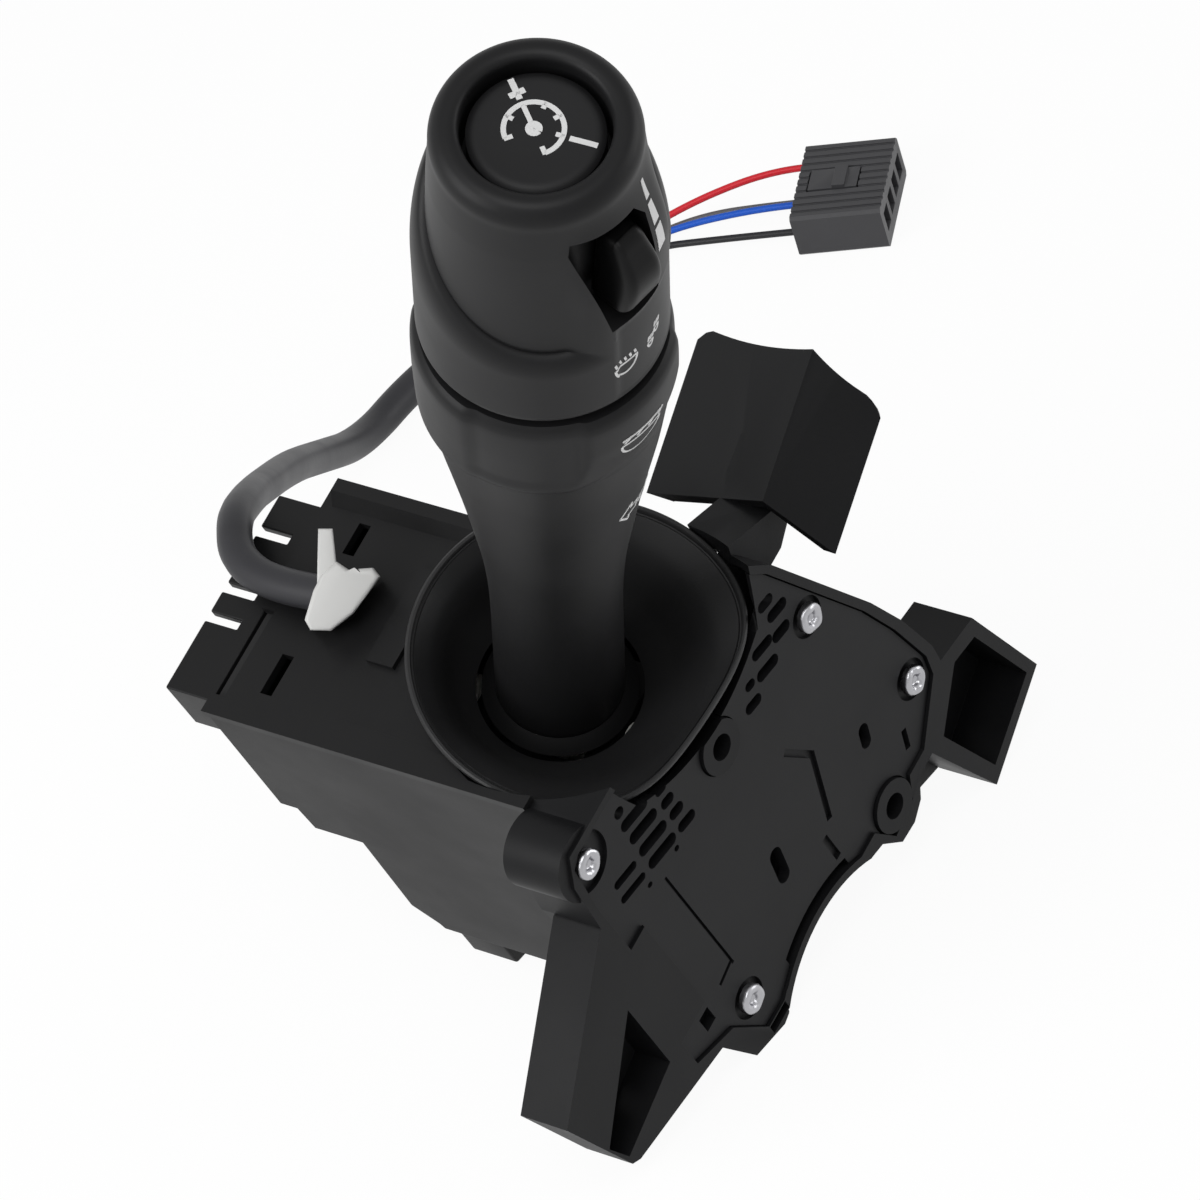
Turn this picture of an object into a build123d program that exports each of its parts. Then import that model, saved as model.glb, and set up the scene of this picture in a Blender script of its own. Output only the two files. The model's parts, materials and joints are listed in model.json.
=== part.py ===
"""Combination stalk switch for a steering column.

Everything is drawn in the column frame: +X along the steering column towards the driver,
+Y across it, +Z out along the lever side, origin at the centre of the funnel's rim.
At the end every piece is turned about X and lifted, so that the switch stands on its
hook, socket box, locating lug and harness socket.
"""
from build123d import *
import math
import os

os.makedirs("parts", exist_ok=True)

# Placing of the finished switch
stand_angle = 18.0
floor_y = -29.8
floor_z = -87.8

# General moulding sizes
wall = 2.5
seat_gap = 0.3
run_gap = 0.05

# Lever line
lever_foot = (-6.0, 0.0, 0.0)
lever_dir = (0.400, 0.096, 0.911)
pivot_depth = 32.0

# Front frame and its cover, in X
frame_back = 10.0
frame_front = 25.0
frame_floor = 2.5
cover_thick = 2.6
cover_front = 24.2
rim_width = 2.2

# Column saddle
saddle_r = 31.0
saddle_y = -8.0
saddle_z = -111.3

# Screw bores of the frame
bore_r = 2.85
bore_relief_r = 3.6
bore_relief_x = 18.5
bore_boss_r = 6.0
screw_bores = [(-1.8, -22.9), (21.6, -84.0)]

# Rivets of the cover
rivet_r = 1.6
rivet_head_r = 3.3
rivet_head_h = 1.6
rivet_recess_r = 4.6
shoulder_r = 8.2
shoulder_recess_r = 7.0
rivet_spots = [(32.4, -27.1), (43.1, -68.3), (-41.7, -3.7), (-32.1, -73.6)]

# Vents of the cover: Y, Z, length and width of each slot
vent_angle = -14.0
vents = [
    (-18.2, -13.2, 3.6, 2.2), (-18.6, -17.0, 4.2, 2.6), (-18.4, -21.2, 4.6, 2.7), (-18.0, -25.8, 5.8, 2.6),
    (-28.8, -5.2, 2.9, 2.6), (-26.4, -9.8, 9.0, 2.8), (-26.4, -14.3, 9.4, 2.9), (-26.4, -19.0, 9.5, 2.9),
    (-26.5, -23.7, 9.5, 2.9), (-36.4, -17.2, 7.6, 2.0), (-36.8, -21.5, 8.4, 1.9), (-23.6, -27.5, 1.5, 1.3),
    (-33.4, -25.8, 1.5, 1.2), (26.6, -12.8, 5.0, 2.6), (27.8, -17.2, 6.6, 2.8), (25.6, -21.9, 6.0, 2.8),
    (19.8, -19.2, 7.0, 2.6), (18.0, -24.1, 7.4, 2.8), (12.4, -21.9, 3.2, 2.2), (10.4, -26.0, 5.4, 2.6)]

# Main housing
house_back = -74.0
house_left = -37.0
house_right = 19.0
house_top = 2.0
lid_thick = 2.0
cavity_floor = -31.5

# Contact board
board_z = -14.0

# Lower housing
lower_back = -60.0
lower_bottom = -76.5

# Funnel
funnel_r = 35.4
funnel_lip = 1.6
funnel_front = 26.8
throat_r = 17.0
throat_shift = 5.5
funnel_wall = 1.8

# Lever stem
stem_r = 13.2
stem_neck_r = 13.6
stem_flare_r = 22.0
stem_top = 100.6
stem_bore_r = 4.0
spigot_r = 17.0
foot_r = 8.6
foot_width = 14.0
foot_room = 1.2
link_r = 7.0
link_length = 12.0
press_gap = 0.02
shield_r = 21.5
shield_low = 14.4
shield_thick = 1.4

# Fog lamp ring and headlamp knob
fog_ring_low = 101.0
fog_ring_high = 128.5
fog_ring_r = 25.6
grip_angles = (-128.0, 112.0, -8.0)
grip_depth = 1.0
knob_low = 131.0
knob_collar_r = 24.4
collar_low_edge = 157.5
collar_rise = 17.0
collar_low_angle = -52.0
knob_head_r = 21.9
knob_top_r = 19.8
knob_top = 205.0
knob_wall = 3.0

# End button
button_r = 12.8
button_gap = 0.5
button_drop = 0.8
button_height = 9.0
button_travel = 1.5

# Cruise slider on the side of the knob
slider_angle = -20.0
slider_low = 166.0
slider_high = 192.0
slider_width = 15.0
slider_travel = 3.0

# Tilt carrier of the lever
carrier_x = 36.0
carrier_y = 30.0
carrier_z = 8.0
carrier_wall = 5.0
pin_r = 2.5
bush_r = 4.0

# Wiring
sheath_d = 7.5
wire_d = 1.6
gland_back = -56.0

# Moulded comb behind the housing
comb_back = -87.5
comb_top = 2.0
comb_height = 14.0
comb_thick = 2.2


def unit(v):
    return Vector(*v).normalized()


axis_dir = unit(lever_dir)
side_dir = (Vector(1, 0, 0) - axis_dir * axis_dir.X).normalized()
LEVER = Plane(origin=lever_foot, x_dir=tuple(side_dir), z_dir=tuple(axis_dir))
FUNNEL = Plane(origin=(0, 0, 0), x_dir=tuple(side_dir), z_dir=tuple(axis_dir))
pivot = Vector(*lever_foot) - axis_dir * pivot_depth
funnel_depth = pivot_depth - 12.0
sump_floor = pivot.Z - foot_r - foot_room
house_floor = sump_floor - wall


def floor_at(y):
    """Height of the standing plane under the point y, in the column frame."""
    return floor_z - math.tan(math.radians(stand_angle)) * (y - floor_y)


def prism_x(points, x0, x1):
    """Outline in Y and Z, extruded along X."""
    face = make_face(Polyline(*points, close=True))
    return extrude(Plane.YZ.offset(x0) * face, amount=x1 - x0)


def prism_y(points, y0, y1):
    """Outline in X and Z, extruded along Y."""
    face = make_face(Polyline(*points, close=True))
    start = Plane(origin=(0, y1, 0), x_dir=(1, 0, 0), z_dir=(0, -1, 0))
    return extrude(start * face, amount=y1 - y0)


def block(x0, x1, y0, y1, z0, z1):
    """Box between two corners."""
    centre = ((x0 + x1) / 2, (y0 + y1) / 2, (z0 + z1) / 2)
    return Pos(*centre) * Box(x1 - x0, y1 - y0, z1 - z0)


def rod_x(y, z, r, x0, x1):
    """Round bar along X."""
    return extrude(Plane.YZ.offset(x0) * Pos(y, z) * Circle(r), amount=x1 - x0)


def rod_y(x, z, r, y0, y1):
    """Round bar along Y."""
    start = Plane(origin=(x, y1, z), x_dir=(1, 0, 0), z_dir=(0, -1, 0))
    return extrude(start * Circle(r), amount=y1 - y0)


def turned(points):
    """Body of revolution about Z from an outline of radius and height."""
    face = make_face(Polyline(*[(r, 0, h) for r, h in points], close=True))
    return revolve(face, Axis.Z)


def slot_x(y, z, length, width, angle, x0, x1):
    """Round-ended slot cut along X, turned in the Y-Z plane."""
    face = Plane.YZ.offset(x0) * Pos(y, z) * Rot(0, 0, angle) * SlotOverall(length, width)
    return extrude(face, amount=x1 - x0)


def bar_x(y, z, length, width, angle, x0, x1):
    """Square-ended slot cut along X, turned in the Y-Z plane."""
    face = Plane.YZ.offset(x0) * Pos(y, z) * Rot(0, 0, angle) * Rectangle(length, width)
    return extrude(face, amount=x1 - x0)


# Shapes that several pieces share

def funnel_solid(sections):
    """Stack of circles, given as height and radius, that leans over to the lever's line."""
    low = sections[-1][0]
    circles = []
    for height, radius in sections:
        lean = -throat_shift * max(0.0, height / low)
        circles.append(Pos(lean, 0, height) * Circle(radius))
    return FUNNEL.location * loft(circles, ruled=True)


def funnel_outer(extra):
    """Solid envelope of the funnel, grown by a clearance."""
    w = funnel_wall + extra
    r = funnel_r + extra
    bowl = funnel_solid([(-funnel_lip - extra, r), (-6.0 - extra, r - 3.5), (-14.0, throat_r + 7.0 + w),
                         (-funnel_depth - extra, throat_r + w)])
    brim = FUNNEL.location * Pos(0, 0, 20 - funnel_lip - extra) * Cylinder(r, 40)
    return bowl + brim


def frame_outline():
    """Outer outline of the front frame, with the column saddle cut out."""
    body = prism_x([
        (-47.5, -4.0), (-44.0, 2.5), (26.0, 2.5), (32.7, -7.4), (45.9, -42.5), (49.2, -54.3),
        (51.5, -68.0), (51.0, -74.0), (46.0, -78.5), (36.5, -86.4), (30.6, -86.5), (27.5, -90.8),
        (23.1, -92.9), (18.0, -92.6), (13.9, -86.9), (9.9, -85.9), (9.9, -100.0),
        (-27.1, -100.0), (-27.1, -87.1), (-29.8, floor_at(-29.8)), (-39.3, floor_at(-39.3)),
        (-44.3, -73.0), (-48.5, -17.5)], frame_back, frame_front)
    below = block(frame_back - 1, frame_front + 1, -27.1, 9.9, -101, -86.5)
    column = rod_x(saddle_y, saddle_z, saddle_r, frame_back - 1, frame_front + 1)
    return body - below - column


def cover_outline(gap):
    """Outline of the flat cover inside the frame's rim."""
    edge = rim_width + gap
    body = prism_x([
        (-44.6 + gap, -1.0), (-42.0, 2.5 - edge), (25.0, 2.5 - edge), (30.2 - gap, -7.4),
        (43.2 - gap, -42.0), (46.4 - gap, -54.3), (48.6 - gap, -68.0), (47.4 - gap, -73.2),
        (35.2, -83.0 + gap), (28.8, -83.0 + gap), (26.0, -88.0 + gap), (17.6, -89.4 + gap),
        (14.0, -82.6), (-24.5, -82.6), (-26.5, -83.6), (-33.0, -83.2 + gap),
        (-40.4 + gap, -71.0), (-40.4 + gap, -30.0), (-46.0 + gap, -30.0), (-46.0 + gap, -14.0)],
        cover_front - cover_thick, cover_front)
    column = rod_x(saddle_y, saddle_z, saddle_r + edge, frame_back, frame_front)
    return body - column


def vent_slots():
    """Ventilation slots beside the funnel: two fields of short slots between slanting ribs."""
    return [slot_x(y, z, length, width, vent_angle, cover_front - cover_thick - 1, cover_front + 1)
            for y, z, length, width in vents]


# Fixed pieces

def bracket_frame():
    """Front frame: rim, floor, lower arm, hook, saddle, socket box and screw bosses."""
    frame = frame_outline()
    pocket = cover_outline(-seat_gap)
    hollow = extrude(pocket.faces().sort_by(Axis.X)[0], amount=cover_front - cover_thick
                     - frame_back - frame_floor, dir=(-1, 0, 0))
    opening = extrude(pocket.faces().sort_by(Axis.X)[-1], amount=2.0, dir=(1, 0, 0))
    arm = prism_x([(-46.0, -17.5), (-49.0, -18.0), (-82.9, -41.1), (-76.5, -65.8), (-74.4, -67.3),
                   (-42.5, -73.4), (-42.5, -20.0)], 13.0, frame_front)
    arm_pocket = prism_x([(-55.4, -38.9), (-55.5, -59.8), (-76.0, -63.6), (-78.4, -56.5)],
                         16.0, frame_front + 1)
    arm_window = prism_x([(-64.0, -51.0), (-64.0, -60.0), (-67.5, -60.0), (-67.5, -52.6)],
                         12.0, 17.0)
    shoulder = rod_x(rivet_spots[2][0], rivet_spots[2][1], shoulder_r, frame_back, frame_front - 0.8)
    frame = frame + (arm - arm_pocket - arm_window) + shoulder
    tab = cover_tab(-seat_gap)
    tab_opening = extrude(tab.faces().sort_by(Axis.X)[-1], amount=2.0, dir=(1, 0, 0))
    frame = frame - pocket - hollow - opening - tab - tab_opening + socket_box()
    seat_x = cover_front - cover_thick
    for y, z in rivet_spots:
        frame = frame + rod_x(y, z, 3.6, frame_back, seat_x - 0.02)
        frame = frame - rod_x(y, z, rivet_r + run_gap, frame_back - 1, frame_front + 1)
    for y, z in screw_bores:
        frame = frame + rod_x(y, z, bore_boss_r, frame_back, frame_front)
        frame = frame - rod_x(y, z, bore_r, frame_back - 1, frame_front + 1)
    upper_y, upper_z = screw_bores[0]
    relief = rod_x(upper_y, upper_z, bore_relief_r, frame_back - 1, bore_relief_x)
    notch = block(frame_back + 4, frame_front + 1, -33.0, -26.5, -86.2, -83.9)
    return frame - relief - notch - funnel_outer(seat_gap) - lever_clearance()


def socket_box():
    """Open box at the lower right that takes a wiring plug."""
    box = prism_x([(50.6, -73.0), (63.1, -75.3), (69.2, -103.3), (44.1, floor_at(44.1)),
                   (36.0, -85.6)], frame_back, frame_front)
    pocket = prism_x([(53.4, -77.6), (60.9, -79.3), (66.0, -101.6), (46.6, -107.9),
                      (40.8, -87.0)], frame_back + wall, frame_front + 1)
    window = prism_x([(47.0, -86.0), (51.0, -86.0), (52.5, -100.0), (48.5, -100.0)],
                     frame_back - 1, frame_back + wall + 1)
    return box - pocket - window


def cover_tab(gap):
    """Tab of the cover that lies in the frame's arm."""
    return prism_x([(-39.5, -60.4 - gap), (-50.6 + gap, -60.4 - gap), (-50.6 + gap, -68.0 + gap),
                    (-39.5, -72.6 + gap)], cover_front - cover_thick, cover_front)


def front_cover():
    """Flat moulded cover with vents, slots, counterbores and a key slot."""
    cover = cover_outline(0) + cover_tab(0)
    x0 = cover_front - cover_thick - 1
    x1 = cover_front + 1
    for y, z in rivet_spots:
        cover = cover - rod_x(y, z, rivet_r + run_gap, x0, x1)
        cover = cover - rod_x(y, z, rivet_recess_r, cover_front - 1.2, x1)
    for y, z in screw_bores:
        cover = cover - rod_x(y, z, bore_boss_r + seat_gap, x0, x1)
    shoulder_y, shoulder_z = rivet_spots[2]
    cover = cover - rod_x(shoulder_y, shoulder_z, shoulder_recess_r, cover_front - 1.2, x1)
    for cut in vent_slots():
        cover = cover - cut
    column_gap = rod_x(saddle_y, saddle_z, saddle_r + 4.2, x0, x1) & block(x0, x1, -20.0, 5.3, -84, -70)
    cover = cover - column_gap - block(x0, x1, -44.2, -40.8, -67.0, -62.6)
    cover = cover - slot_x(26.4, -64.1, 6.0, 3.2, 70, x0, x1)
    cover = cover - bar_x(33.7, -77.0, 5.0, 1.6, 70, x0, x1)
    cover = cover - slot_x(-7.6, -60.5, 9.4, 3.8, 78, x0, x1)
    groove = cover_front - 1.0
    cover = cover - bar_x(11.1, -59.4, 17.5, 1.7, 70, groove, x1)
    cover = cover - bar_x(11.7, -47.5, 10.2, 1.7, -60, groove, x1)
    cover = cover - bar_x(-29.8, -46.0, 34.0, 0.7, 90, groove, x1)
    cover = cover - bar_x(-32.6, -62.4, 5.6, 0.9, 10, groove, x1)
    cover = cover - bar_x(4.4, -73.0, 7.5, 1.8, 90, groove, x1)
    cover = cover - funnel_outer(seat_gap)
    return cover.solids().sort_by(SortBy.VOLUME)[-1]


def cover_rivets():
    """Four headed rivets, each a separate solid."""
    solids = []
    for y, z in rivet_spots:
        shank = rod_x(y, z, rivet_r, frame_back + 0.5, cover_front - 1.2)
        head = rod_x(y, z, rivet_head_r, cover_front - 1.2, cover_front - 1.2 + rivet_head_h)
        solids.append(shank + head)
    return Compound(children=solids)


def lever_clearance():
    """Room that the lever's foot and its shield need below the funnel."""
    return Pos(*pivot) * Sphere(shield_r + 1.2)


def main_housing():
    """Upper housing: an open-topped shell behind the front frame."""
    body = prism_y([(frame_back, house_top), (house_back, house_top), (house_back - 1, -33.8),
                    (house_back + 3.5, -33.8), (house_back + 4, house_floor),
                    (frame_back, house_floor)], house_left, house_right)
    inside = block(house_back + wall, frame_back - wall, house_left + wall, house_right - wall,
                   cavity_floor, house_top + 1)
    sump = block(-45.0, frame_back - wall, house_left + wall, house_right - wall,
                 sump_floor, cavity_floor + 1)
    body = body - inside - sump
    body = body + bush_post(-1) + bush_post(1)
    for sign in (-1, 1):
        body = body - bush_hole(sign)
    return body - funnel_outer(seat_gap)


def bush_x(sign):
    """Inner face of the bush on one side of the carrier."""
    return pivot.X + sign * (carrier_x / 2 + 1.0)


def bush_post(sign):
    x0 = bush_x(sign)
    low, high = sorted((x0, x0 + sign * 6.0))
    return block(low, high, pivot.Y - 8, pivot.Y + 8, house_floor + 1, pivot.Z + 1.5)


def bush_hole(sign):
    x0 = bush_x(sign)
    low, high = sorted((x0 - sign * 1.0, x0 + sign * 7.0))
    return rod_x(pivot.Y, pivot.Z, bush_r, low, high)


def carrier_bushes():
    """Two sleeves in which the carrier's trunnions turn."""
    solids = []
    for sign in (-1, 1):
        x0 = bush_x(sign)
        low, high = sorted((x0, x0 + sign * 6.0))
        sleeve = rod_x(pivot.Y, pivot.Z, bush_r, low, high)
        solids.append(sleeve - rod_x(pivot.Y, pivot.Z, pin_r + run_gap, low - 1, high + 1))
    return Compound(children=solids)


def housing_cover():
    """Lid of the main housing, with latch windows, a raised rail and the cable opening."""
    top = house_top + lid_thick
    lid = block(house_back - 0.5, frame_back, house_left - 0.5, house_right, house_top, top)
    lid = lid - block(house_back - 1, -71.0, -33.0, -12.0, house_top - 1, top + 1)
    rail = prism_x([(13.5, top - 0.5), (house_right, top - 0.5), (house_right, top + 3.0),
                    (16.0, top + 3.0)], -72.0, -30.0)
    lid = lid + rail
    for y0, y1 in ((-30.0, -20.4), (4.5, 12.0)):
        lid = lid - block(-63.4, -60.4, y0, y1, house_top - 1, top + 1)
    clip = block(-43.0, -36.0, -17.0, 6.0, top - 0.5, top + 1.2)
    return lid + clip - funnel_outer(seat_gap)


def lower_housing():
    """Lower housing with its locating lug, which stands on the column bracket."""
    body = prism_y([(frame_back, house_floor), (-58.5, house_floor), (lower_back, -69.0),
                    (-55.5, -74.5), (-54.8, lower_bottom), (frame_back, lower_bottom)],
                   house_left + 0.4, house_right - 3)
    hollow = block(-54.0, frame_back - wall, house_left + 0.4 + wall, house_right - 3 - wall,
                   lower_bottom + wall, house_floor - wall)
    lug = prism_x([(-35.4, lower_bottom), (-35.4, floor_at(-35.4)), (-30.4, floor_at(-30.4)),
                   (-30.4, lower_bottom)], -53.0, -41.0)
    return body - hollow + lug


def harness_socket():
    """Rear right connector block for the vehicle's main plug, open to the rear."""
    body = prism_x([(house_right, -24.0), (36.0, -24.0), (44.0, -46.0), (46.0, -70.0),
                    (46.0, floor_at(46.0)), (27.0, floor_at(27.0)), (27.0, -76.5),
                    (house_right, -70.0)], -32.0, frame_back)
    body = body - funnel_outer(seat_gap) - connector_room()
    pocket = prism_x([(30.0, -60.0), (43.0, -60.0), (43.0, -103.0), (30.0, -103.0)], -33.0, -12.0)
    return body - pocket


def connector_room():
    """Space under the hood that its side connector needs."""
    return block(-33.0, frame_back + 1, 40.0, 60.0, -40.0, 0.0)


def socket_terminals():
    """Two rows of flat blades in the harness socket."""
    solids = []
    for row in range(2):
        for i in range(6):
            y = 33.0 + row * 6.5
            z = -65.0 - i * 6.4
            solids.append(block(-24.0, -12.0, y - 0.4, y + 0.4, z - 1.2, z + 1.2))
    return Compound(children=solids)


def funnel_shroud():
    """Dished funnel round the lever, with a thin lip."""
    w = funnel_wall
    bowl = funnel_solid([(-funnel_lip, funnel_r), (-6.0, funnel_r - 3.5), (-14.0, throat_r + 7.0 + w),
                         (-funnel_depth, throat_r + w)])
    lip = FUNNEL.location * Pos(0, 0, -funnel_lip / 2) * Cylinder(funnel_r, funnel_lip)
    behind_front = block(-60, funnel_front, -60, 60, -60, 60)
    behind_wall = block(-60, funnel_front - w, -60, 60, -60, 60)
    dish = funnel_solid([(0.5, funnel_r - 1.4), (-2.6, funnel_r - 3.8), (-7.0, funnel_r - 8.0),
                         (-14.0, throat_r + 6.0), (-funnel_depth - 0.5, throat_r)])
    outer = (bowl + lip) & behind_front
    return outer - (dish & behind_wall)


def connector_hood():
    """Roof-shaped hood over the side connector, with its neck."""
    ridge = (16.0, -6.0)
    left = (-19.8, -17.4)
    right = (26.8, -21.6)
    thick = 2.3
    start = Plane(origin=(0, 45.0, 0), x_dir=(1, 0, 0), z_dir=(0, -1, 0))
    rise = Vector(0, 0.946, 0.324)
    length = 36.4
    ridge_end = 75.6
    corner_end = 79.4
    outer = make_face(Polyline(left, ridge, right, close=True))
    inner = make_face(Polyline((left[0] + 7.0, left[1] - 0.4), (ridge[0] - 0.4, ridge[1] - thick - 0.3),
                               (right[0] - 2.9, right[1] + 0.2), (right[0] - 2.0, right[1] - 6.0),
                               (left[0] + 6.0, left[1] - 6.0), close=True))
    roof = extrude(start * outer, amount=length, dir=tuple(rise))
    room = extrude(start * inner, amount=length + 2, dir=tuple(rise))
    room = Pos(0, -0.9, -0.3) * room
    beyond = corner_end + 5.0
    rim = (ThreePointArc((left[0] - 1, corner_end), (0.0, 75.8), (ridge[0], ridge_end))
           + ThreePointArc((ridge[0], ridge_end), (21.5, 74.4), (right[0] + 1, ridge_end))
           + Polyline((right[0] + 1, ridge_end), (right[0] + 1, beyond), (left[0] - 1, beyond),
                      (left[0] - 1, corner_end)))
    scallop = Pos(0, 0, -40) * extrude(make_face(rim.edges()), amount=80)
    neck = prism_x([(25.0, 2.5), (31.0, -3.0), (46.0, -10.5), (50.0, -7.5), (58.0, -5.4),
                    (58.0, -9.4), (50.0, -15.0), (42.0, -19.0), (37.2, -19.0), (33.0, -8.0)],
                   3.0, 16.0)
    return roof - room - scallop + (neck - frame_outline() - funnel_outer(seat_gap))


def cable_comb():
    """Shelf behind the housing whose fingers hold the wiring."""
    shelf = block(comb_back, house_back - 1, -34.0, 14.0, comb_top - comb_thick, comb_top)
    for y in (-16.2, -9.0, -2.0, 5.0):
        shelf = shelf - block(comb_back - 1, -79.0, y - 1.1, y + 1.1, -5, comb_top + 1)
    skirt = block(comb_back, house_back - 1, -34.0, -31.8, comb_top - comb_height, comb_top)
    rear = block(comb_back, comb_back + 2, -34.0, -19.0, comb_top - comb_height, comb_top)
    return shelf + skirt + rear


def circuit_board():
    """Contact board on posts at the rear of the main housing."""
    return block(-70.0, -47.0, -30.0, 12.0, board_z, board_z + 1.6)


def board_posts():
    """Four posts that hold the contact board off the housing floor."""
    solids = []
    for x, y in ((-66.0, -26.0), (-66.0, 8.0), (-50.0, -26.0), (-50.0, 8.0)):
        solids.append(Pos(x, y, (board_z + cavity_floor) / 2) * Cylinder(2.2, board_z - cavity_floor))
    return Compound(children=solids)


def detent_block():
    """Block with a dished face on which the lever's plunger rides."""
    body = block(pivot.X - 9, pivot.X + 9, pivot.Y - 9, pivot.Y + 9, sump_floor, sump_floor + 4.0)
    return body - Pos(*pivot) * Sphere(foot_r + 0.4)


# Moving pieces

def turn_carrier():
    """Open frame that tilts about X for the turn signals."""
    body = Box(carrier_x, carrier_y, carrier_z)
    body = body - Box(carrier_x - 2 * carrier_wall, carrier_y - 2 * carrier_wall, carrier_z + 1)
    body = Pos(*pivot) * body
    reach = carrier_x / 2 + 6.4
    for sign in (-1, 1):
        low, high = sorted((pivot.X + sign * (carrier_x / 2 - 1), pivot.X + sign * reach))
        body = body + rod_x(pivot.Y, pivot.Z, pin_r, low, high)
    hole = rod_y(pivot.X, pivot.Z, pin_r + run_gap, pivot.Y - carrier_y, pivot.Y + carrier_y)
    return body - hole


def lever_pin():
    """Steel pin across the lever's foot, about which it is pulled."""
    half = carrier_y / 2
    return rod_y(pivot.X, pivot.Z, pin_r, pivot.Y - half, pivot.Y + half)


def lever_stem():
    """Hollow stem from the lever's foot up to the ring seat."""
    profile = [
        (stem_bore_r, 10.5 - pivot_depth), (foot_r, 10.5 - pivot_depth), (stem_r, 17.0 - pivot_depth),
        (stem_r, 20.0), (stem_neck_r, 38.0),
        (15.4, 52.0), (17.5, 70.0), (20.4, 89.0), (stem_flare_r, 98.0), (stem_flare_r, stem_top),
        (spigot_r, stem_top), (spigot_r, knob_low + 14.0), (stem_bore_r, knob_low + 14.0)]
    stem = LEVER.location * turned(profile)
    foot = Pos(*pivot) * (Sphere(foot_r) & Box(3 * foot_r, foot_width, 3 * foot_r))
    link = LEVER.location * Pos(0, 0, 1.0 + link_length / 2 - pivot_depth) * Cylinder(link_r, link_length)
    body = stem + foot + link
    hole = rod_y(pivot.X, pivot.Z, pin_r + press_gap, pivot.Y - foot_width, pivot.Y + foot_width)
    return body - hole


def dust_shield():
    """Dished shield on the stem that closes the funnel's throat."""
    ball = Sphere(shield_r) - Sphere(shield_r - shield_thick)
    cap = ball & Pos(0, 0, shield_low + 10.0) * Box(60, 60, 20.0)
    bore = Pos(0, 0, shield_r) * Cylinder(stem_r, 40)
    return LEVER.location * (Pos(0, 0, -pivot_depth) * (cap - bore))


def fog_ring():
    """Fog lamp ring with grip lobes."""
    low = fog_ring_low
    high = fog_ring_high
    r = fog_ring_r
    bore = spigot_r + run_gap
    ring = turned([(bore, low), (stem_flare_r + 0.6, low), (r - 0.9, low + 6.0), (r - 0.3, low + 14.0),
                   (r, high - 4.0), (r - 1.0, high - 1.0), (r - 2.2, high), (bore, high)])
    for angle in grip_angles:
        flat = Rot(0, 0, angle) * Pos(r + 10.0 - grip_depth, 0, low + 8) * Box(20, 40, 44)
        ring = ring - flat
    return LEVER.location * ring


def headlamp_knob():
    """Headlamp switch knob: collar, tapered head and the button's well."""
    bore = spigot_r + run_gap
    low = knob_low
    head = turned([
        (0, low), (knob_collar_r - 2.0, low), (knob_head_r, low + 2.5), (knob_head_r, low + 29.0),
        (knob_head_r - 0.6, low + 42.0), (knob_top_r, knob_top - 6.0), (knob_top_r - 1.0, knob_top - 3.0),
        (knob_top_r - 2.8, knob_top - 1.0), (knob_top_r - 5.2, knob_top), (0, knob_top)])
    outer = head + knob_collar()
    stem_room = turned([(0, low - 1), (bore, low - 1), (bore, low + 14.6), (0, low + 14.6)])
    well = Pos(0, 0, knob_top - button_height / 2 - button_travel) * Cylinder(
        button_r + button_gap, button_height + 2 * button_travel + 3.0)
    cavity = Pos(0, 0, (low + 17.6 + knob_top - 15.0) / 2) * Cylinder(
        12.0, knob_top - 15.0 - low - 17.6)
    knob = outer - stem_room - well - cavity - slider_room()
    return LEVER.location * knob


def knob_collar():
    """Collar of the knob, cut off by a slanting plane that is lowest on the driver's side."""
    low = knob_low
    middle = collar_low_edge + collar_rise
    slope = math.degrees(math.atan(collar_rise / knob_collar_r))
    sleeve = turned([(0, low), (knob_collar_r - 2.0, low), (knob_collar_r, low + 2.5),
                     (knob_collar_r, middle + collar_rise), (0, middle + collar_rise)])
    above = Pos(0, 0, middle) * Rot(0, 0, collar_low_angle) * Rot(0, -slope, 0) * Pos(0, 0, 40) * Box(
        120, 120, 80)
    return sleeve - above


def slider_place():
    return Rot(0, 0, slider_angle) * Pos(knob_head_r - 2.6, 0, (slider_low + slider_high) / 2)


def slider_room():
    """Side recess of the knob, long enough for the slider's travel."""
    length = slider_high - slider_low + 2 * slider_travel + 2.0
    return slider_place() * Pos(2.8, 0, 0) * Box(7.0, slider_width + 1.0, length)


def cruise_slider():
    """Thumb slider on the side of the knob."""
    length = slider_high - slider_low
    base = Pos(0.2, 0, 0) * Box(1.2, slider_width, length)
    ramp = make_face(Polyline((0.6, 0, -length / 2), (4.6, 0, -3.0), (4.6, 0, 2.0),
                              (0.6, 0, length / 2), close=True))
    pad = Pos(0, (slider_width - 1) / 2, 0) * extrude(ramp, amount=slider_width - 1, dir=(0, -1, 0))
    return LEVER.location * (slider_place() * (base + pad))


def end_button():
    """Round push button in the end of the knob."""
    top = knob_top - button_drop
    body = Pos(0, 0, top - button_height / 2) * Cylinder(button_r, button_height)
    body = fillet(body.edges().filter_by(GeomType.CIRCLE).sort_by(Axis.Z)[-1], 0.8)
    return LEVER.location * body


# Wiring, as centre lines in the column frame

def on_floor(x, y, lift):
    """Point over the standing plane, given by its place there and its height."""
    turn = math.radians(stand_angle)
    low = floor_y * math.sin(turn) + floor_z * math.cos(turn) + lift
    return (x, y * math.cos(turn) + low * math.sin(turn), -y * math.sin(turn) + low * math.cos(turn))


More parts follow.
